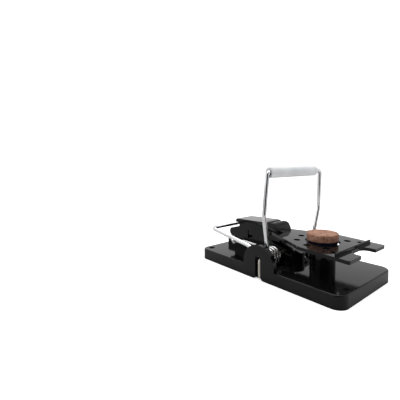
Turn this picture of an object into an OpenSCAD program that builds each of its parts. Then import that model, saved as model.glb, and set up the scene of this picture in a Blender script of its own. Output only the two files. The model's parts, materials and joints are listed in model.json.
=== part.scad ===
// Snap mouse trap with a moulded base, a treadle that holds the bail down, and a wire bail.
// Millimetres. +X is the treadle's free end, +Z is up, the origin is the middle of the base's underside.
// The trap is drawn set: the kill bar stands up and the rear loop of the bail lies behind the treadle's lip.

/* [Base] */
// Length of the base
base_l = 100; // [98:1:106]
// Width of the base
base_w = 52; // [52:0.5:54]
// Height of the base plate
base_h = 6.5; // [6:0.1:6.6]
// Radius of the base's four upright corners
base_r = 5.4; // [3:0.1:8]
// Rounding of the base's top edge
base_edge = 0.7; // [0.3:0.1:1.2]
// Wall thickness of the base moulding
base_wall = 2.2; // [1.6:0.1:2.4]
// Radius of each ear's arch
ear_r = 11; // [10.5:0.1:11.5]
// Thickness of each ear
ear_t = 2.4; // [1.8:0.1:2.4]
// Diameter of the two fixing holes at the rear corners
fixing_d = 4; // [3:0.1:4.5]

/* [Treadle] */
// Width of the treadle plate
plate_w = 37.4; // [36:0.2:37.4]
// Thickness of the treadle plate
plate_t = 1.7; // [1.6:0.1:1.8]
// Slope of the treadle plate down towards its free end, in degrees
plate_slope = 2.08; // [1.5:0.02:2.2]
// Width of the treadle's housing
housing_w = 14.4; // [14:0.2:14.8]
// Wall thickness of the treadle's housing
housing_wall = 1.6; // [1.2:0.1:1.6]
// Radius of the treadle's hole round the bait cup
cup_hole_r = 9; // [8.8:0.1:9.2]

/* [Bail] */
// Diameter of the bail's wire
bail_d = 2.4; // [2.2:0.1:2.4]
// Height of the kill bar's centre line
bail_h = 57.9; // [54:0.1:60]
// Outer diameter of the sleeve on the kill bar
sleeve_d = 5.6; // [4.6:0.1:5.8]
// Bore of the sleeve
sleeve_bore = 3; // [2.8:0.1:3.2]
// Length of the sleeve
sleeve_l = 40.6; // [36:0.2:41]
// Diameter of the bail's axle wire
axle_d = 2; // [1.8:0.1:2]

/* [Springs] */
// Diameter of the spring wire
spring_d = 1.1; // [1:0.05:1.15]
// Radius of the spring coil's centre line
coil_r = 4.7; // [4.4:0.1:4.7]
// Turns of each spring coil, ending half a turn on
coil_turns = 2.5; // [2.5:1:3.5]

/* [Bait] */
// Diameter of the bait disc
bait_d = 16.4; // [14:0.2:16.4]
// Height of the bait disc above the cup's rim
bait_t = 4; // [2:0.1:4.5]

/* [Hidden] */
$fn = 64;
over = 1;                      // how far a cut runs past the face it opens
sides = [-1, 1];               // near and far side of the trap, along Y

// Centre of the ears' arches and of the slot in each ear
ear_x = 2.2;
ear_z = 7.9;
slot_w = 3.9;
slot_top = 12.3;
slot_flare = 1.7;
slot_r = 1;

// Axis of the bail, and the wire that forms it
axle_x = 2.6;
axle_z = 11;
axle_play = 0.08;
axle_fit = 0.1;                // how much wider the tower's slot is than the axle
axle_y = base_w/2 - ear_t/2;
axle_foot = 0.9;
axle_bend = 1.6;
bail_bend = axle_d/2 + axle_play + bail_d/2;

// Axis of the treadle
pin_x = -37.5;
pin_z = 16;
pin_d = 2;
pin_play = 0.07;
pin_skin = 0.5;                // wall that closes each end of the pin's bore
pin_gap = 0.1;                 // room at each end of the pin

// Bait cup, a column that stands up through the treadle
cup_x = 24.9;
cup_z = 21.6;
column_r = 6.7;
column_top = 18.4;
rim_r = 7.6;
cup_wall = 0.8;
cup_floor = 13;

// Tower under the treadle's housing
tower_w = 10;
tower_rear = -47;
tower_front = 12.9;
tower_low = 11.2;              // height of its rear part
tower_top = 17.3;
tower_nose = [14.4, 11.8];     // height of its front part, from back to front
tower_wall = 1.6;
tower_ear_r = 1.9;             // top of the tower round the pin
tower_corner_r = 1.5;

// Places along the treadle plate
plate_ref_x = 42.3;            // where the plate's top is at plate_ref_z
plate_ref_z = 20.36;
plate_tip = 49.1;
plate_tab_y = 7.4;
plate_tab_r = 0.4;
plate_notch_x = 47.1;          // centre of the rounded inner corners of the notch
plate_notch_r = 4.2;
plate_wide_x = 23;
plate_root_x = -4;
plate_corner_r = 0.9;
ridge_x = 42.3;                // front face of the ridge
ridge_h = 1.6;
ridge_t = 0.9;
ridge_l = 34.6;
hole_r = 1.75;
hole_ring_r = 13.3;
hole_angles = [-137, -94, -51, 51, 94, 137, 180];
front_hole = [38.7, 13.2];
front_hole_r = 1.5;

// Spring coils, from the bail's side to the treadle's side
coil_y_out = 18.6;
coil_y_in = 13.1;

function arc(c, r, a0, a1, n = 12) =
    [for (i = [0:n]) let (a = a0 + (a1 - a0)*i/n) c + r*[cos(a), sin(a)]];

// ---- Wires: a run of points with rounded corners, swept as a tube ----

function unit(v) = v/norm(v);

// Rounds the corner at b, between a and c, to radius r
function corner(a, b, c, r, n) =
    let (u = unit(a - b), v = unit(c - b), half = acos(u*v)/2, turn = 180 - 2*half,
         o = b + unit(u + v)*r/sin(half), s = b + u*r/tan(half) - o, e = b + v*r/tan(half) - o)
    [for (i = [0:n]) o + (s*sin(turn*(1 - i/n)) + e*sin(turn*i/n))/sin(turn)];

// Turns n across t, so that a sweep doesn't twist
function across(n, t) = unit(n - (n*t)*t);

function tangents(p, closed) =
    let (m = len(p))
    [for (i = [0:m - 1])
        unit(p[closed ? (i + 1)%m : min(i + 1, m - 1)] - p[closed ? (i + m - 1)%m : max(i - 1, 0)])];

module wire(p, d, start, closed = false, ring = 12) {
    m = len(p);
    t = tangents(p, closed);
    normals = [for (i = 0, n = across(start, t[0]); i < m; i = i + 1, n = i < m ? across(n, t[i]) : n) n];
    points = [for (i = [0:m - 1], k = [0:ring - 1])
        let (a = 360*k/ring) p[i] + d/2*(cos(a)*normals[i] + sin(a)*cross(t[i], normals[i]))];
    tube = [for (i = [0:(closed ? m - 1 : m - 2)], k = [0:ring - 1])
        let (j = (i + 1)%m, l = (k + 1)%ring) [i*ring + k, j*ring + k, j*ring + l, i*ring + l]];
    caps = closed ? [] : [[for (k = [0:ring - 1]) k], [for (k = [ring - 1:-1:0]) (m - 1)*ring + k]];
    polyhedron(points, concat(tube, caps), convexity = 10);
}

// ---- Plates ----

// An upright slab centred on the origin, with round corners and a rounded top edge
module slab(l, w, h, r, e) {
    for (x = sides, y = sides)
        translate([x*(l/2 - r), y*(w/2 - r), 0]) rotate_extrude() slab_side(r, h, e);
    translate([-(l/2 - r), 0, 0]) rotate([90, 0, 90]) linear_extrude(l - 2*r) slab_section(w/2, h, e);
    translate([0, w/2 - r, 0]) rotate([90, 0, 0]) linear_extrude(w - 2*r) slab_section(l/2, h, e);
}

module slab_side(half, h, e) {
    square([half, h - e]);
    square([half - e, h]);
    translate([half - e, h - e]) intersection() {
        circle(e);
        square(e);
    }
}

module slab_section(half, h, e) {
    slab_side(half, h, e);
    mirror([1, 0]) slab_side(half, h, e);
}

// Draws an XZ outline as a solid of width w, centred on the trap's middle plane
module across_y(w) {
    rotate([90, 0, 0]) translate([0, 0, -w/2]) linear_extrude(w) children();
}

// ---- Base ----

module ear(side) {
    translate([0, side*(base_w - ear_t)/2, 0]) intersection() {
        across_y(ear_t) {
            translate([ear_x, ear_z]) circle(ear_r, $fn = 96);
            translate([ear_x - ear_r, 1]) square([2*ear_r, ear_z - 1]);
        }
        translate([-base_l/2, -base_w/2, 1]) cube([base_l, base_w, ear_z + ear_r]);
    }
}

module ear_slot() {
    across_y(base_w + 2*over) {
        translate([ear_x - slot_w/2, -over]) square([slot_w, slot_top - slot_r + over]);
        translate([ear_x - slot_w/2 + slot_r, 0]) square([slot_w - 2*slot_r, slot_top]);
        for (x = sides) translate([ear_x + x*(slot_w/2 - slot_r), slot_top - slot_r]) circle(slot_r);
        difference() {
            translate([ear_x - slot_w/2 - slot_flare, -over]) square([slot_w + 2*slot_flare, slot_flare + over]);
            for (x = sides) translate([ear_x + x*(slot_w/2 + slot_flare), slot_flare]) circle(slot_flare);
        }
    }
}

module tower_outline() {
    polygon([[tower_rear, 0], [tower_rear, tower_low], [pin_x - tower_ear_r, tower_low],
             [pin_x - tower_ear_r, pin_z], [pin_x, tower_top], [-9, tower_top], [-3.5, tower_nose[0]],
             [tower_front, tower_nose[1]], [tower_front, 0]]);
    translate([pin_x, pin_z]) circle(tower_ear_r);
}

// Plan of the tower, with a round front end and rounded rear corners
module tower_plan() {
    r = tower_corner_r;
    translate([tower_rear + r, -tower_w/2]) square([tower_front - tower_w/2 - tower_rear - r, tower_w]);
    translate([tower_rear, r - tower_w/2]) square([2*r, tower_w - 2*r]);
    for (y = sides) translate([tower_rear + r, y*(tower_w/2 - r)]) circle(r);
    translate([tower_front - tower_w/2, 0]) circle(d = tower_w);
}

module tower() {
    intersection() {
        across_y(tower_w) tower_outline();
        linear_extrude(tower_top + over) tower_plan();
    }
}

module underside() {
    w = base_w - 2*base_wall;
    l = base_l - 2*base_wall;
    r = base_r - base_wall;
    inner_edge = 0.3;
    difference() {
        translate([0, 0, -over]) slab(l, w, base_h - base_wall + over, r, inner_edge);
        for (y = sides) translate([fixing_x, y*fixing_y, -2*over])
            cylinder(d = fixing_d + 2*base_wall, h = base_h + 3*over);
    }
    across_y(tower_w - 2*tower_wall)
        polygon([[tower_rear + tower_wall, -over], [tower_rear + tower_wall, tower_low - tower_wall],
                 [tower_front - 2*tower_wall, tower_nose[1] - tower_wall], [tower_front - 2*tower_wall, -over]]);
    translate([cup_x, 0, -over]) cylinder(r = column_r - tower_wall, h = cup_floor - 2*tower_wall + over);
}

fixing_x = -45;
fixing_y = 20.6;
window_x = [-3.6, 8.9];
window_y = [10.2, base_w/2 - ear_t];

module base() {
    color([0.06, 0.06, 0.065]) difference() {
        union() {
            slab(base_l, base_w, base_h, base_r, base_edge);
            for (y = sides) ear(y);
            tower();
            translate([cup_x, 0, 0]) cylinder(r = column_r, h = column_top, $fn = 96);
        }
        underside();
        ear_slot();
        for (y = sides) {
            translate([window_x[0], y > 0 ? window_y[0] : -window_y[1], base_h - base_wall - over])
                cube([window_x[1] - window_x[0], window_y[1] - window_y[0], base_wall + 2*over]);
            translate([fixing_x, y*fixing_y, -over]) cylinder(d = fixing_d, h = base_h + 2*over);
        }
        across_y(tower_w + over) {
            translate([axle_x, axle_z]) circle(d = axle_d + axle_fit);
            translate([axle_x - (axle_d + axle_fit)/2, -over]) square([axle_d + axle_fit, axle_z + over]);
        }
        translate([pin_x, base_w/2, pin_z]) rotate([90, 0, 0]) cylinder(d = pin_d, h = base_w);
        translate([cup_x, 0, cup_floor - cup_wall]) cylinder(r = column_r - cup_wall, h = cup_z);
    }
}

// ---- Treadle ----

lip = [-35.7, 23.8];
lip_top = 26.05;
lip_r = 0.55;
throat = [-33.4, 22.4];
throat_r = 1.4;
heel = [-38.9, 16.5];
heel_r = 2.9;
arm_z = 14.5;                  // bottom of the two arms that carry the pin
skirt_z = 17.1;                // bottom of the skirts in front of the arms
skirt_step = -23.4;
skirt_end = 17;
relief_w = 0.9;
relief_top = 19.8;
axle_notch_r = 1;              // notch in the skirts over the axle
block_front = -8.6;            // front face of the housing's long block
block_top = 26.85;
block_r = 1.4;
nose_w = 13.2;
nose_front = 2;
nose_top = 27.2;
nose_r = 5;                    // rounding of the nose's upright edges
nose_crown_r = 3.1;            // rounding of its top, seen from the side
nose_edge = 2.2;               // rounding along the top's two sides
web_top = [21.3, 20.4];        // top of the skirts at their two ends, inside the plate

module housing_outline() {
    polygon(concat(
        [lip],
        arc([lip[0] + 1, lip_top - lip_r], lip_r, 175, 90, 4),
        [[-12, block_top]],
        arc([block_front - block_r, block_top - 0.1 - block_r], block_r, 88, 0, 6),
        [[block_front, web_top[0]], [skirt_end, web_top[1]], [skirt_end, skirt_z], [skirt_step, skirt_z],
         [skirt_step - relief_w, arm_z], [throat[0], arm_z]],
        arc(heel, heel_r, 270, 122, 14),
        arc(throat, throat_r, 270, 450, 12)));
}

// The rounded ridge in front of the long block
module nose_outline() {
    polygon(concat(
        [[block_front - 2, 20.9], [block_front - 2, 25.6], [block_front - 0.3, 25.8]],
        arc([-4.6, nose_top - nose_crown_r], nose_crown_r, 125, 22, 14),
        [[nose_front - 0.4, 22], [nose_front, 20.9]]));
}

module nose_plan() {
    translate([block_front - 2, -nose_w/2]) square([nose_front - nose_r - block_front + 2, nose_w]);
    translate([0, nose_r - nose_w/2]) square([nose_front, nose_w - 2*nose_r]);
    for (y = sides) translate([nose_front - nose_r, y*(nose_w/2 - nose_r)]) circle(nose_r);
}

// The nose seen along X, with round top corners
module nose_section() {
    translate([-nose_w/2, 0]) square([nose_w, nose_top - nose_edge]);
    translate([nose_edge - nose_w/2, 0]) square([nose_w - 2*nose_edge, nose_top + over]);
    for (y = sides) translate([y*(nose_w/2 - nose_edge), nose_top - nose_edge]) circle(nose_edge);
}

module nose() {
    intersection() {
        across_y(nose_w) nose_outline();
        linear_extrude(nose_top + over) nose_plan();
        translate([block_front - 2 - over, 0, 0]) rotate([90, 0, 90])
            linear_extrude(nose_front - block_front + 2 + 2*over) nose_section();
    }
}

module housing_hollow() {
    polygon(
        [[-40.2, 0], [-40.2, 17.4], [-33.6, 19.5], [-30.1, 19.5], [-30.1, lip_top - housing_wall + 0.1],
         [-11, block_top - housing_wall], [-6, block_top - housing_wall], [-0.8, 21], [-0.2, 20],
         [skirt_end + over, 19.4], [skirt_end + over, 0]]);
}

module plate_outline() {
    for (y = sides) scale([1, y]) polygon(concat(
        [[plate_root_x - 4, -0.01], [plate_root_x - 4, housing_w/2], [plate_root_x, housing_w/2],
         [plate_wide_x, plate_w/2]],
        arc([plate_tip - plate_corner_r, plate_w/2 - plate_corner_r], plate_corner_r, 90, 0, 6),
        arc([plate_tip - plate_tab_r, plate_tab_y + plate_tab_r], plate_tab_r, 0, -90, 4),
        arc([plate_notch_x, plate_tab_y - plate_notch_r], plate_notch_r, 90, 180, 12),
        [[plate_notch_x - plate_notch_r, -0.01]]));
}

module plate() {
    translate([plate_ref_x, 0, plate_ref_z]) rotate([0, plate_slope, 0]) translate([-plate_ref_x, 0, 0]) {
        difference() {
            translate([0, 0, -plate_t]) linear_extrude(plate_t) plate_outline();
            translate([cup_x, 0, -plate_t - over]) cylinder(r = cup_hole_r, h = plate_t + 2*over, $fn = 96);
            for (a = hole_angles)
                translate([cup_x + hole_ring_r*cos(a), hole_ring_r*sin(a), -plate_t - over])
                    cylinder(r = hole_r, h = plate_t + 2*over);
            for (y = sides) translate([front_hole[0], y*front_hole[1], -plate_t - over])
                cylinder(r = front_hole_r, h = plate_t + 2*over);
        }
        translate([ridge_x - ridge_t, -ridge_l/2, -0.5]) cube([ridge_t, ridge_l, ridge_h + 0.5 - ridge_t/2]);
        translate([ridge_x - ridge_t/2, ridge_l/2, ridge_h - ridge_t/2]) rotate([90, 0, 0])
            cylinder(d = ridge_t, h = ridge_l);
    }
}

module treadle() {
    color([0.09, 0.09, 0.095]) difference() {
        union() {
            across_y(housing_w) housing_outline();
            nose();
            plate();
        }
        across_y(housing_w - 2*housing_wall) housing_hollow();
        across_y(housing_w - 2*pin_skin) translate([pin_x, pin_z]) circle(pin_d/2 + pin_play);
        across_y(housing_w + 2*over) {
            translate([axle_x, skirt_z]) circle(axle_notch_r);
            translate([skirt_step - relief_w, 0]) square([relief_w, relief_top]);
        }
        translate([cup_x, 0, 0]) cylinder(r = cup_hole_r - 0.1, h = cup_z - 1, $fn = 96);
    }
}

// The pin is pressed into the tower; the housing's sides spring over its ends
module treadle_pin() {
    color([0.75, 0.76, 0.78]) across_y(housing_w - 2*pin_skin - 2*pin_gap) translate([pin_x, pin_z]) circle(d = pin_d);
}

// ---- Bail, its axle and its sleeve ----

module bail_axle() {
    color([0.80, 0.79, 0.74]) {
        translate([axle_x, axle_y - axle_bend, axle_z]) rotate([90, 0, 0])
            cylinder(d = axle_d, h = 2*(axle_y - axle_bend));
        for (y = sides) scale([1, y]) {
            translate([axle_x, axle_y - axle_bend, axle_z - axle_bend]) rotate([0, -90, 0])
                rotate_extrude(angle = 90) translate([axle_bend, 0]) circle(d = axle_d);
            translate([axle_x, axle_y, axle_foot]) cylinder(d = axle_d, h = axle_z - axle_bend - axle_foot);
        }
    }
}

kill_x = 7.75;
kill_y = 24.3;
sleeve_y = -2.6;               // the loose sleeve has slid towards the near side
sleeve_play = 0.05;            // and hangs this much clear of the bar
kink = [6.4, 25.5, 34.5];
foot_y_front = 20.4;
foot_y_rear = 21.8;
loop_bend = [-8, 22.2, 15.7];
loop_x = -38.5;
loop_y = 25.4;
loop_z = 21.8;

// Angle, about the axle, at which a line from point p leaves the wire's bend; k is 1 above and -1 below
function leave(p, k) =
    let (dx = p[0] - axle_x, dz = p[2] - axle_z) atan2(dz, dx) - k*acos(bail_bend/norm([dx, dz]));

// Half of the bail, on the far side, from the kill bar down round the axle and out to the rear loop
function bail_half() =
    let (bar = [kill_x, 0, bail_h], top = [kill_x, kill_y, bail_h],
         a0 = leave(kink, 1), a1 = leave(loop_bend, -1) - 360,
         foot = [for (i = [0:16]) let (a = a0 + (a1 - a0)*i/16)
             [axle_x + bail_bend*cos(a), foot_y_front + (foot_y_rear - foot_y_front)*i/16,
              axle_z + bail_bend*sin(a)]],
         rear = [loop_x, loop_y, loop_z], end = [loop_x, 0, loop_z])
    concat([bar], corner(bar, top, kink, 2.2, 8), corner(top, kink, foot[0], 14, 6), foot,
           corner(foot[16], loop_bend, rear, 8, 5), corner(loop_bend, rear, end, 3.4, 8), [end]);

module bail() {
    half = bail_half();
    m = len(half);
    loop = concat(half, [for (i = [m - 2:-1:1]) [half[i][0], -half[i][1], half[i][2]]]);
    color([0.82, 0.83, 0.84]) wire(loop, bail_d, [1, 0, 0], true, 12);
}

module kill_bar_sleeve() {
    z = bail_h - (sleeve_bore - bail_d)/2 + sleeve_play;
    color([0.86, 0.87, 0.87]) translate([kill_x, sleeve_y + sleeve_l/2, z]) rotate([90, 0, 0]) difference() {
        cylinder(d = sleeve_d, h = sleeve_l);
        translate([0, 0, -over]) cylinder(d = sleeve_bore, h = sleeve_l + 2*over);
    }
}

// ---- Springs ----

// From the hook under the rear loop, along the loop, round the coil and back to the base plate
function spring_points() =
    let (pitch = (coil_y_out - coil_y_in)/coil_turns, n = 18*coil_turns,
         tip = [-19.3, 25.5, 18.1], toe = [-17.6, 25.2, 16.1],
         under = [-17.8, 21.4, 15.4], rise = [-15.4, 20.2, 17],
         coil = [for (i = [0:n]) let (a = 90 - 360*coil_turns*i/n)
             [axle_x + coil_r*cos(a), coil_y_out - pitch*coil_turns*i/n, axle_z + coil_r*sin(a)]],
         rest = [-11.5, coil_y_in - 0.2, base_h + spring_d/2 + 0.1],
         bend = [-3.2, coil_y_in - 0.1, base_h + spring_d/2 + 0.1])
    concat([tip], corner(tip, toe, under, 0.8, 4), corner(toe, under, rise, 1, 4),
           corner(under, rise, coil[0], 2, 3), coil,
           corner(coil[n], bend, rest, 3, 3), [rest]);

module spring() {
    wire(spring_points(), spring_d, [0, 0, 1], false, 10);
}

module spring_near() {
    color([0.86, 0.86, 0.85]) mirror([0, 1, 0]) spring();
}

module spring_far() {
    color([0.86, 0.86, 0.85]) spring();
}

// ---- Bait ----

// A cup pushed into the top of the column, with a rim wider than the column
module bait_cup() {
    r = column_r - cup_wall;
    color([0.03, 0.04, 0.09]) translate([cup_x, 0, 0]) rotate_extrude($fn = 96)
        polygon([[0, cup_floor - cup_wall], [r, cup_floor - cup_wall], [r, column_top], [column_r + 0.1, column_top],
                 [rim_r, column_top + 0.8], [rim_r, cup_z - 0.3], [rim_r - 0.3, cup_z], [r - cup_wall, cup_z],
                 [r - cup_wall, cup_floor], [0, cup_floor]]);
}

module bait_disc() {
    color([0.62, 0.42, 0.34]) translate([cup_x, 0, 0]) {
        translate([0, 0, cup_z]) cylinder(d = bait_d, h = bait_t, $fn = 96);
        translate([0, 0, cup_floor]) cylinder(r = column_r - 2*cup_wall, h = cup_z - cup_floor);
    }
}

base();
treadle();
treadle_pin();
bail_axle();
bail();
kill_bar_sleeve();
spring_near();
spring_far();
bait_cup();
bait_disc();
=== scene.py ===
# Snap mouse trap, set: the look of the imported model, in metres and in the model's own frame.
import json
import math

import bmesh
import bpy
from mathutils import Matrix, Vector, noise


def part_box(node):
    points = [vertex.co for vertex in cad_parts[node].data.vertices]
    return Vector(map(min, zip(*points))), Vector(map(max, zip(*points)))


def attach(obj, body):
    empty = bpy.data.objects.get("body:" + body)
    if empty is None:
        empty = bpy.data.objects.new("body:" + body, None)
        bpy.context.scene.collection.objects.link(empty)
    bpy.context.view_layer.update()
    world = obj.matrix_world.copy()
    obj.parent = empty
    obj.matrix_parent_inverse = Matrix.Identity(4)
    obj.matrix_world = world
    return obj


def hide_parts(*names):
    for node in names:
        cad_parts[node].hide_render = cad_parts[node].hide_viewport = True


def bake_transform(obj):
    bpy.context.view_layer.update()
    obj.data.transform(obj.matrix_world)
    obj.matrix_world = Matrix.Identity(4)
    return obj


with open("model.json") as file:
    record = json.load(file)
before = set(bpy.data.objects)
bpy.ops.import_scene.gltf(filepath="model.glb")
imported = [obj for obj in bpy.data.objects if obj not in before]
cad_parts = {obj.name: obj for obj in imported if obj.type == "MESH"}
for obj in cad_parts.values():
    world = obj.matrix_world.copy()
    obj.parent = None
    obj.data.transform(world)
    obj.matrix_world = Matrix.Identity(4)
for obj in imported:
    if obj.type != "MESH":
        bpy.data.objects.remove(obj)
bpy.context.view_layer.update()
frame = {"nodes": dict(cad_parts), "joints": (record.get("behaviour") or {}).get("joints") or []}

MM = 0.001

# ---- Camera ----

CAMERA_AT = Vector((107.9, -137.7, 62.14))*MM
CAMERA_YAW, CAMERA_PITCH, CAMERA_ROLL = 49.785, 4.016, 0.711     # degrees, looking along +Y at 0
CAMERA_LENS = 26.166             # mm on a 36 mm sensor
CAMERA_SHIFT = (-0.0625, -0.0375)


def turn(degrees, axis):
    return Matrix.Rotation(math.radians(degrees), 4, axis)


def add_camera():
    data = bpy.data.cameras.new("camera")
    data.sensor_width = 36
    data.lens = CAMERA_LENS
    data.shift_x, data.shift_y = CAMERA_SHIFT
    data.clip_start, data.clip_end = 0.01, 10
    camera = bpy.data.objects.new("camera", data)
    aim = turn(CAMERA_YAW, "Z") @ turn(90 - CAMERA_PITCH, "X") @ turn(-CAMERA_ROLL, "Z")
    camera.matrix_world = Matrix.Translation(CAMERA_AT) @ aim
    bpy.context.scene.collection.objects.link(camera)
    bpy.context.scene.camera = camera


# ---- Meshes ----

def add_piece(name, mesh, body, material, smooth=True):
    if smooth:
        mesh.polygons.foreach_set("use_smooth", [True]*len(mesh.polygons))
    mesh.materials.append(material)
    piece = bpy.data.objects.new(name, mesh)
    bpy.context.scene.collection.objects.link(piece)
    if body:
        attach(piece, body)
    return piece


def arc_points(centre, radius, start, end, steps):
    """Points on a circle in XZ; angles in degrees from +X towards +Z, y added by the caller."""
    return [Vector((centre[0] + radius*math.cos(math.radians(start + (end - start)*i/steps)), 0,
                    centre[1] + radius*math.sin(math.radians(start + (end - start)*i/steps))))
            for i in range(steps + 1)]


def corner(a, b, c, radius, steps):
    """The rounded corner at b, on the way from a to c."""
    u, v = (a - b).normalized(), (c - b).normalized()
    half = u.angle(v)/2
    sweep = math.pi - 2*half
    middle = b + (u + v).normalized()*radius/math.sin(half)
    start = b + u*radius/math.tan(half) - middle
    end = b + v*radius/math.tan(half) - middle
    return [middle + (start*math.sin(sweep*(1 - i/steps)) + end*math.sin(sweep*i/steps))/math.sin(sweep)
            for i in range(steps + 1)]


def spaced(points, gap, closed=False):
    """Adds points along straight runs so that none is longer than gap."""
    out = []
    last = len(points) if closed else len(points) - 1
    for i in range(last):
        a, b = points[i], points[(i + 1) % len(points)]
        pieces = max(1, math.ceil((b - a).length/gap))
        out += [a.lerp(b, k/pieces) for k in range(pieces)]
    return out if closed else out + [points[-1]]


WIRE_TIP = 0.72         # radius of a wire's cut ends, as a share of its own


def wire_mesh(name, points, radius, sides, closed=False):
    """A round wire along points, with its ends tapered.
    Its UVs run along the wire and round it, in metres."""
    mesh = bmesh.new()
    uv = mesh.loops.layers.uv.new("along_wire")
    count = len(points)
    lengths = [0.0]
    for i in range(1, count + (1 if closed else 0)):
        lengths.append(lengths[-1] + (points[i % count] - points[i - 1]).length)

    def direction(i):
        ahead = points[(i + 1) % count] if closed or i < count - 1 else points[i]
        behind = points[i - 1] if closed or i > 0 else points[i]
        return (ahead - behind).normalized()

    first = direction(0)
    normal = first.orthogonal().normalized()
    if closed:
        normal = (Vector((1, 0, 0)) - first*first.x).normalized()
    rings = []
    for i in range(count):
        along = direction(i)
        normal = (normal - along*along.dot(normal)).normalized()
        other = along.cross(normal)
        at_end = not closed and i in (0, count - 1)
        ring_radius = radius*WIRE_TIP if at_end else radius
        rings.append([mesh.verts.new(points[i] + ring_radius*(normal*math.cos(a) + other*math.sin(a)))
                      for a in [2*math.pi*k/sides for k in range(sides)]])
    for i in range(count if closed else count - 1):
        for k in range(sides):
            here, there = rings[i], rings[(i + 1) % count]
            face = mesh.faces.new([here[k], here[(k + 1) % sides], there[(k + 1) % sides], there[k]])
            corners = [(lengths[i], k), (lengths[i], k + 1), (lengths[i + 1], k + 1), (lengths[i + 1], k)]
            for loop, (s, m) in zip(face.loops, corners):
                loop[uv].uv = (s, 2*math.pi*radius*m/sides)
    if not closed:
        mesh.faces.new(rings[0][::-1])
        mesh.faces.new(rings[-1])
    out = bpy.data.meshes.new(name)
    mesh.normal_update()
    bmesh.ops.recalc_face_normals(mesh, faces=mesh.faces)
    mesh.to_mesh(out)
    mesh.free()
    return out


def lathe_mesh(name, profile, steps, axis="Z"):
    """Turns (radius, height) points round an axis; a radius of 0 closes the end."""
    mesh = bmesh.new()
    rings = []
    for radius, height in profile:
        if radius == 0:
            rings.append([mesh.verts.new((0, 0, height))])
        else:
            rings.append([mesh.verts.new((radius*math.cos(a), radius*math.sin(a), height))
                          for a in [2*math.pi*k/steps for k in range(steps)]])
    for low, high in zip(rings, rings[1:]):
        for k in range(steps):
            corners = [low[k % len(low)], low[(k + 1) % len(low)],
                       high[(k + 1) % len(high)], high[k % len(high)]]
            kept = [c for n, c in enumerate(corners) if c not in corners[:n]]
            mesh.faces.new(kept)
    bmesh.ops.recalc_face_normals(mesh, faces=mesh.faces)
    out = bpy.data.meshes.new(name)
    mesh.to_mesh(out)
    mesh.free()
    if axis == "Y":
        out.transform(turn(-90, "X"))
    return out


# ---- Materials ----

class Nodes:
    """A short way to write a material's node tree."""

    def __init__(self, name):
        self.material = bpy.data.materials.new(name)
        self.material.use_nodes = True
        self.tree = self.material.node_tree
        self.shader = self.tree.nodes["Principled BSDF"]

    def add(self, kind, inputs=(), **settings):
        node = self.tree.nodes.new(kind)
        for key, value in settings.items():
            setattr(node, key, value)
        for socket, value in dict(inputs).items():
            if isinstance(value, bpy.types.NodeSocket):
                self.tree.links.new(value, node.inputs[socket])
            else:
                node.inputs[socket].default_value = value
        return node

    def set(self, **values):
        for name, value in values.items():
            socket = self.shader.inputs[name.replace("_", " ")]
            if isinstance(value, bpy.types.NodeSocket):
                self.tree.links.new(value, socket)
            else:
                socket.default_value = value

    def coordinates(self, scale=(1, 1, 1), uv=False):
        source = self.add("ShaderNodeTexCoord").outputs["UV" if uv else "Object"]
        return self.add("ShaderNodeMapping", {"Vector": source, "Scale": scale}).outputs["Vector"]

    def noise(self, scale, detail, where=None, roughness=0.5):
        where = where or self.coordinates()
        node = self.add("ShaderNodeTexNoise",
                        {"Vector": where, "Scale": scale, "Detail": detail, "Roughness": roughness})
        return node.outputs["Fac"]

    def ramp(self, value, *stops):
        node = self.add("ShaderNodeValToRGB", {"Fac": value})
        ramp = node.color_ramp
        while len(ramp.elements) < len(stops):
            ramp.elements.new(0.5)
        for element, (at, colour) in zip(ramp.elements, stops):
            element.position = at
            element.color = (*colour, 1) if isinstance(colour, tuple) else (colour, colour, colour, 1)
        return node.outputs["Color"]

    def bump(self, height, strength, distance, normal=None):
        inputs = {"Height": height, "Strength": strength, "Distance": distance}
        if normal:
            inputs["Normal"] = normal
        return self.add("ShaderNodeBump", inputs).outputs["Normal"]


PLASTIC_IOR = 1.31      # lower than real moulded plastic, for weaker reflections


def moulded_plastic(name, colour, light, rough):
    """Black moulding: a deep glossy skin with faint flow marks, a fine grain and a few scuffs."""
    nodes = Nodes(name)
    flow = nodes.noise(1, 3, nodes.coordinates((60, 160, 160)))
    grain = nodes.noise(2400, 2)
    scuff = nodes.noise(1, 5, nodes.coordinates((900, 300, 900)), roughness=0.7)
    sheen = nodes.add("ShaderNodeMath", {0: nodes.ramp(flow, (0.3, rough - 0.02), (0.7, rough + 0.02)),
                                         1: nodes.ramp(scuff, (0.6, 0.0), (0.8, 0.16))}, operation="ADD")
    nodes.set(Base_Color=nodes.ramp(flow, (0.3, colour), (0.75, light)), Roughness=sheen.outputs["Value"],
              Normal=nodes.bump(grain, 0.05, 0.00002, nodes.bump(flow, 0.08, 0.0001)))
    nodes.shader.inputs["IOR"].default_value = PLASTIC_IOR
    return nodes.material


def drawn_wire(name, colour, dark, rough, uv=True):
    """Bright wire: fine drawing lines along it, with dull patches in the plating."""
    nodes = Nodes(name)
    where = nodes.coordinates((60, 5200, 1), uv=True) if uv else nodes.coordinates((4000, 60, 4000))
    streaks = nodes.noise(1, 3, where)
    blotches = nodes.noise(260, 4)
    nodes.set(Base_Color=nodes.ramp(blotches, (0.35, dark), (0.65, colour)),
              Roughness=nodes.ramp(streaks, (0.3, rough - 0.03), (0.7, rough + 0.06)),
              Normal=nodes.bump(streaks, 0.12, 0.00002, nodes.bump(blotches, 0.1, 0.00004)))
    nodes.shader.inputs["Metallic"].default_value = 1.0
    return nodes.material


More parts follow.
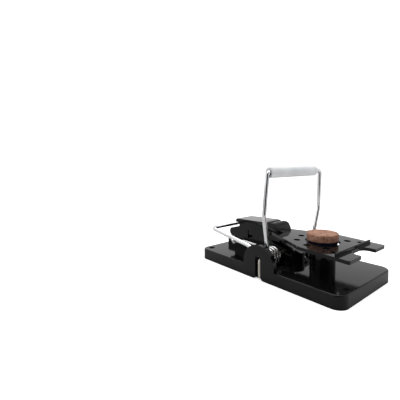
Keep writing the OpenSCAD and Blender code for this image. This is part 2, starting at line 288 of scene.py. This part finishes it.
def sleeve_plastic():
    nodes = Nodes("sleeve_plastic")
    lines = nodes.noise(1, 2, nodes.coordinates((2600, 60, 2600)))
    patches = nodes.noise(120, 3)
    nodes.set(Base_Color=nodes.ramp(patches, (0.3, (0.56, 0.58, 0.59)), (0.7, (0.66, 0.68, 0.69))),
              Roughness=nodes.ramp(lines, (0.3, 0.36), (0.7, 0.5)),
              Normal=nodes.bump(lines, 0.2, 0.00004))
    nodes.shader.inputs["Subsurface Weight"].default_value = 0.15
    nodes.shader.inputs["Subsurface Radius"].default_value = (0.001, 0.001, 0.001)
    nodes.shader.inputs["Subsurface Scale"].default_value = 1.0
    return nodes.material


def bait_paste():
    nodes = Nodes("bait_paste")
    grain = nodes.noise(1500, 5, roughness=0.65)
    clumps = nodes.noise(420, 4, roughness=0.6)
    speck = nodes.ramp(nodes.noise(2100, 2), (0.62, 0.0), (0.68, 1.0))
    base = nodes.ramp(clumps, (0.28, (0.17, 0.075, 0.045)), (0.5, (0.31, 0.15, 0.095)),
                      (0.72, (0.45, 0.25, 0.175)))
    colour = nodes.add("ShaderNodeMixRGB", {"Fac": speck, "Color1": base, "Color2": (0.58, 0.38, 0.28, 1)})
    nodes.set(Base_Color=colour.outputs["Color"],
              Roughness=nodes.ramp(grain, (0.3, 0.62), (0.7, 0.9)),
              Normal=nodes.bump(grain, 0.8, 0.0003, nodes.bump(clumps, 0.6, 0.0006)))
    nodes.shader.inputs["Specular IOR Level"].default_value = 0.3
    return nodes.material


def floor_paint():
    """A white sweep, which polished surfaces see darker than the camera does: a painted grey reflection,
    standing in for the floor's shade round the trap.
    """
    nodes = Nodes("floor_paint")
    path = nodes.add("ShaderNodeLightPath")
    mirrored, seen = path.outputs["Is Glossy Ray"], path.outputs["Is Camera Ray"]
    paper = nodes.ramp(nodes.noise(8, 3), (0.3, (0.84, 0.84, 0.83)), (0.7, (0.88, 0.88, 0.87)))
    # Glossy rays see painted grey: painted shade in the floor's reflection.
    colour = nodes.add("ShaderNodeMixRGB", {"Fac": mirrored, "Color1": paper, "Color2": (0.5, 0.5, 0.5, 1)})
    lit = nodes.ramp(mirrored, (0.0, 0.2), (1.0, 0.0))
    glow = nodes.add("ShaderNodeMath", {0: seen, 1: 0.35, 2: lit}, operation="MULTIPLY_ADD")
    nodes.set(Base_Color=colour.outputs["Color"], Roughness=0.6, Emission_Color=(1, 1, 1, 1),
              Emission_Strength=glow.outputs["Value"])
    return nodes.material


base_plastic = moulded_plastic("base_plastic", (0.0025, 0.0025, 0.0027), (0.005, 0.005, 0.0055), 0.09)
treadle_plastic = moulded_plastic("treadle_plastic", (0.0025, 0.0025, 0.0027), (0.005, 0.005, 0.0055), 0.07)
cup_plastic = moulded_plastic("cup_plastic", (0.004, 0.007, 0.024), (0.008, 0.012, 0.036), 0.12)
plated_wire = drawn_wire("plated_wire", (0.85, 0.86, 0.87), (0.74, 0.74, 0.75), 0.11)
# The springs' wire is the plated wire made darker: painted shade, for the dark housing round the coils.
spring_wire = drawn_wire("spring_wire", (0.6, 0.6, 0.59), (0.5, 0.5, 0.49), 0.12)
dull_wire = drawn_wire("dull_wire", (0.74, 0.71, 0.62), (0.55, 0.52, 0.45), 0.42, uv=False)
pin_steel = drawn_wire("pin_steel", (0.72, 0.72, 0.73), (0.55, 0.55, 0.56), 0.3, uv=False)

# ---- CAD nodes that keep their shape ----

EDGE = 0.18*MM


def finish_node(name, material, edge=EDGE):
    node = frame["nodes"][name]
    node.data.materials.clear()
    node.data.materials.append(material)
    if edge:
        bevel = node.modifiers.new("edges", "BEVEL")
        bevel.width = edge
        bevel.segments = 2
        bevel.limit_method = "ANGLE"
        bevel.angle_limit = math.radians(32)
        bevel.harden_normals = False
        smooth = node.modifiers.new("normals", "WEIGHTED_NORMAL")
        smooth.keep_sharp = True


finish_node("base", base_plastic)
finish_node("treadle", treadle_plastic)
finish_node("treadle_pin", pin_steel, 0)
finish_node("bail_axle", dull_wire, 0)
finish_node("bait_cup", cup_plastic, 0)

# ---- Bail ----

AXLE = frame["joints"][0]["pos_m"]
AXLE_X, AXLE_Z = AXLE[0], AXLE[2]
BAIL_R = 1.16*MM        # about the largest round wire inside the model's twelve-sided one
BAIL_BEND = 2.28*MM     # middle of the wire to the middle of the axle
BAIL_GAP, BAIL_SIDES = 2*MM, 28
KILL = Vector((7.75, 24.3, 57.9))*MM
KINK = Vector((6.4, 25.5, 34.5))*MM
LOOP_BEND = Vector((-8, 22.2, 15.7))*MM
LOOP_CORNER = Vector((-38.5, 25.4, 21.8))*MM
KILL_R, KINK_R, LOOP_BEND_R, LOOP_CORNER_R = 2.2*MM, 14*MM, 8*MM, 3.4*MM
FOOT_Y = (20.4*MM, 21.8*MM)
FOOT_STEPS = 40


def mirrored(point):
    return Vector((point.x, -point.y, point.z))


def leaving_angle(point, side):
    """Angle about the axle at which a line from point leaves the wire's bend round the axle."""
    dx, dz = point.x - AXLE_X, point.z - AXLE_Z
    return math.degrees(math.atan2(dz, dx) - side*math.acos(BAIL_BEND/math.hypot(dx, dz)))


def bail_half():
    """Half of the bail, from the kill bar down, round the axle and out to the rear loop."""
    bar, end = Vector((KILL.x, 0, KILL.z)), Vector((LOOP_CORNER.x, 0, LOOP_CORNER.z))
    foot = arc_points((AXLE_X, AXLE_Z), BAIL_BEND, leaving_angle(KINK, 1),
                      leaving_angle(LOOP_BEND, -1) - 360, FOOT_STEPS)
    for i, point in enumerate(foot):
        point.y = FOOT_Y[0] + (FOOT_Y[1] - FOOT_Y[0])*i/FOOT_STEPS
    return ([bar] + corner(bar, KILL, KINK, KILL_R, 14) + corner(KILL, KINK, foot[0], KINK_R, 10) + foot
            + corner(foot[-1], LOOP_BEND, LOOP_CORNER, LOOP_BEND_R, 10)
            + corner(LOOP_BEND, LOOP_CORNER, end, LOOP_CORNER_R, 14) + [end])


def add_bail():
    half = bail_half()
    loop = half + [mirrored(p) for p in half[-2:0:-1]]
    mesh = wire_mesh("bail_wire", spaced(loop, BAIL_GAP, closed=True), BAIL_R, BAIL_SIDES, closed=True)
    piece = add_piece("bail_wire", mesh, "bail_body", plated_wire)
    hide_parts("bail")


# ---- Sleeve ----

SLEEVE_BORE_R, SLEEVE_LIP, SLEEVE_CHAMFER = 1.5*MM, 0.22*MM, 0.1*MM
SLEEVE_RINGS = 12               # on each half of the tube
SLEEVE_STRAIGHT = 0.97          # share of the tube's length that the rings are spread over


def add_sleeve():
    low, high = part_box("kill_bar_sleeve")
    outer, half = (high.z - low.z)/2, (high.y - low.y)/2
    inner, lip, chamfer = SLEEVE_BORE_R, SLEEVE_LIP, SLEEVE_CHAMFER
    bend = [(math.sin(math.radians(a)), math.cos(math.radians(a))) for a in (0, 22.5, 45, 67.5, 90)]
    right = [(outer - lip + lip*c, half - lip + lip*s) for s, c in bend]
    side = [(outer, half*(k/SLEEVE_RINGS)*SLEEVE_STRAIGHT) for k in range(-SLEEVE_RINGS, SLEEVE_RINGS + 1)]
    left = [(r, -h) for r, h in reversed(right)]
    bore = [(inner + chamfer, half), (inner, half - chamfer),
            (inner, -half + chamfer), (inner + chamfer, -half)]
    profile = left + side + right + bore
    mesh = lathe_mesh("kill_bar_sleeve_tube", profile + [profile[0]], 64, axis="Y")
    mesh.transform(Matrix.Translation((low + high)/2))
    piece = add_piece("kill_bar_sleeve_tube", mesh, "bail_body", sleeve_plastic())
    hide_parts("kill_bar_sleeve")


# ---- Springs ----

SPRING_R = 0.55*MM
COIL_R = 4.7*MM
COIL_TURNS, TURN_STEPS = 2.5, 40
COIL_OUT, COIL_IN = 18.6*MM, 13.1*MM
SPRING_GAP, SPRING_SIDES = 1*MM, 18
HOOK = [Vector(p)*MM for p in ((-19.3, 25.5, 18.1), (-17.6, 25.2, 16.1),
                               (-17.8, 21.4, 15.4), (-15.4, 20.2, 17))]
TOE_R, UNDER_R, RISE_R, REST_R = 0.8*MM, 1*MM, 2*MM, 3*MM     # bends in the legs
REST_LEG = [Vector(p)*MM for p in ((-3.2, 13, 7.15), (-11.5, 12.9, 7.15))]


def spring_points():
    """From the hook under the rear loop, along the loop, round the coil and back to the base plate."""
    steps = int(TURN_STEPS*COIL_TURNS)
    coil = arc_points((AXLE_X, AXLE_Z), COIL_R, 90, 90 - 360*COIL_TURNS, steps)
    for i, point in enumerate(coil):
        point.y = COIL_OUT + (COIL_IN - COIL_OUT)*i/steps
    tip, toe, under, rise = HOOK
    return ([tip] + corner(tip, toe, under, TOE_R, 8) + corner(toe, under, rise, UNDER_R, 8)
            + corner(under, rise, coil[0], RISE_R, 6) + coil
            + corner(coil[-1], REST_LEG[0], REST_LEG[1], REST_R, 6) + [REST_LEG[1]])


def add_spring(node, side):
    points = [Vector((p.x, side*p.y, p.z)) for p in spring_points()]
    mesh = wire_mesh(node + "_wire", spaced(points, SPRING_GAP), SPRING_R, SPRING_SIDES)
    piece = add_piece(node + "_wire", mesh, None, spring_wire)
    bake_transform(piece)
    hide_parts(node)


# ---- Bait ----

BAIT_T = 4*MM                           # the cake above the cup
BAIT_EDGE, BAIT_FOOT = 0.7*MM, 0.3*MM   # rounding on top, chamfer below
BAIT_PLUG_R = 6*MM
CRUMBS, CRUMB_H = 900, 0.08             # waves in a metre, height in mm
LUMPS, LUMP_H = 260, 0.06
TOP_SINK, SIDE_SINK = 0.08*MM, 0.06*MM  # the rough skin is moved in by this much


def add_bait():
    low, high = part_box("bait_disc")
    centre = (low + high)/2
    radius, top, under = (high.x - low.x)/2, high.z, high.z - BAIT_T
    edge, foot = BAIT_EDGE, BAIT_FOOT
    rim = [(radius - edge + edge*math.cos(math.radians(a)), top - edge + edge*math.sin(math.radians(a)))
           for a in (0, 22, 45, 68, 90)]
    wall = [(radius, under + foot + (top - edge - under - foot)*k/9) for k in range(9)]
    crown = [((radius - edge)*(1 - k/22), top) for k in range(1, 22)]
    plug = [(0, low.z), (BAIT_PLUG_R, low.z), (BAIT_PLUG_R, under), (radius - foot, under)]
    mesh = lathe_mesh("bait_cake", plug + wall + rim + crown + [(0, top)], 128)
    for vertex in mesh.vertices:
        p = vertex.co
        if p.z > under + 0.1*MM:
            rough = noise.fractal(p*CRUMBS, 0.8, 2.2, 4)*CRUMB_H*MM + noise.noise(p*LUMPS)*LUMP_H*MM
            out = Vector((p.x, p.y, 0)).normalized()
            if p.z > top - 0.2*MM:
                p.z += rough - TOP_SINK
            else:
                vertex.co = p + out*(rough - SIDE_SINK)
    mesh.transform(Matrix.Translation((centre.x, centre.y, 0)))
    piece = add_piece("bait_cake", mesh, "base_body", bait_paste())
    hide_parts("bait_disc")


# ---- Studio ----

DARK_SIDE = Vector((0.78, -0.62, 0.1)).normalized()
WORLD_STRENGTH = 1.05
FLAG_AT, FLAG_SIZE = 0.15, (0.17, 0.25)         # distance from the trap; width and height
SHADE_X, SHADE_Y, SHADE_Z = 48*MM, 24*MM, 0.05*MM
FLOOR_HALF = 3


def add_light(name, at, aim, size, power):
    data = bpy.data.lights.new(name, "AREA")
    data.shape = "RECTANGLE"
    data.size, data.size_y = size
    data.energy = power
    light = bpy.data.objects.new(name, data)
    at, aim = Vector(at), Vector(aim)
    light.location = at
    light.rotation_mode = "QUATERNION"
    light.rotation_quaternion = (aim - at).to_track_quat("-Z", "Y")
    bpy.context.scene.collection.objects.link(light)


def two_stops(tree, value, *stops):
    """A colour ramp with two stops in a world's node tree."""
    ramp = tree.nodes.new("ShaderNodeValToRGB")
    tree.links.new(value, ramp.inputs["Fac"])
    for element, (at, colour) in zip(ramp.color_ramp.elements, stops):
        element.position = at
        element.color = (*colour, 1)
    return ramp.outputs["Color"]


def add_world():
    """A pale studio all round, with a darker side behind the camera that bright wire can reflect."""
    world = bpy.data.worlds.new("studio")
    bpy.context.scene.world = world
    world.use_nodes = True
    tree = world.node_tree
    direction = tree.nodes.new("ShaderNodeTexCoord").outputs["Generated"]
    towards = tree.nodes.new("ShaderNodeVectorMath")
    towards.operation = "DOT_PRODUCT"
    towards.inputs[1].default_value = DARK_SIDE
    tree.links.new(direction, towards.inputs[0])
    side = two_stops(tree, towards.outputs["Value"], (0.62, (1, 1, 1)), (0.86, (0.05, 0.05, 0.055)))
    height = tree.nodes.new("ShaderNodeSeparateXYZ")
    tree.links.new(direction, height.inputs["Vector"])
    sky = two_stops(tree, height.outputs["Z"], (0.2, (1, 1, 1)), (0.36, (0.75, 0.75, 0.76)))
    shaded = tree.nodes.new("ShaderNodeMixRGB")
    shaded.blend_type = "MULTIPLY"
    shaded.inputs["Fac"].default_value = 1
    tree.links.new(side, shaded.inputs["Color1"])
    tree.links.new(sky, shaded.inputs["Color2"])
    seen = tree.nodes.new("ShaderNodeMixRGB")
    tree.links.new(tree.nodes.new("ShaderNodeLightPath").outputs["Is Camera Ray"], seen.inputs["Fac"])
    tree.links.new(shaded.outputs["Color"], seen.inputs["Color1"])
    seen.inputs["Color2"].default_value = (1, 1, 1, 1)
    back = tree.nodes["Background"]
    tree.links.new(seen.outputs["Color"], back.inputs["Color"])
    back.inputs["Strength"].default_value = WORLD_STRENGTH


def add_card(name, corners, paint):
    mesh = bpy.data.meshes.new(name)
    mesh.from_pydata(corners, [], [(0, 1, 2, 3)])
    card = add_piece(name, mesh, None, paint, smooth=False)
    return card


def add_cards():
    """A black card on the dark side, seen only in reflections, gives the bright wires their dark streaks.
    Another lies under the trap, inside its rim: a sheet of painted shade, which keeps the floor's glow out
    of the coil windows."""
    paint = Nodes("black_card")
    paint.set(Base_Color=(0.01, 0.01, 0.011, 1), Roughness=0.9)
    middle = Vector((DARK_SIDE.x, DARK_SIDE.y, 0)).normalized()*FLAG_AT
    along = Vector((-middle.y, middle.x, 0)).normalized()*FLAG_SIZE[0]/2
    up = Vector((0, 0, FLAG_SIZE[1]))
    corners = [middle - along, middle + along, middle + along + up, middle - along + up]
    flag = add_card("flag", corners, paint.material)
    flag.visible_camera = flag.visible_diffuse = flag.visible_shadow = False
    # The shade card: black painted shade on the floor under the trap.
    x, y, z = SHADE_X, SHADE_Y, SHADE_Z
    add_card("shade", [(-x, -y, z), (x, -y, z), (x, y, z), (-x, y, z)], paint.material)


def add_studio():
    floor = bpy.data.meshes.new("floor")
    half = FLOOR_HALF
    floor.from_pydata([(-half, -half, 0), (half, -half, 0), (half, half, 0), (-half, half, 0)],
                      [], [(0, 1, 2, 3)])
    plane = add_piece("floor", floor, None, floor_paint(), smooth=False)
    add_world()
    add_cards()
    add_light("overhead", at=(-0.1, 0.1, 0.6), aim=(0, 0, 0.02), size=(0.6, 0.6), power=3.2)
    bpy.context.scene.view_settings.view_transform = "Standard"


add_camera()
add_bail()
add_sleeve()
add_spring("spring_near", -1)
add_spring("spring_far", 1)
add_bait()
add_studio()

bpy.context.view_layer.update()
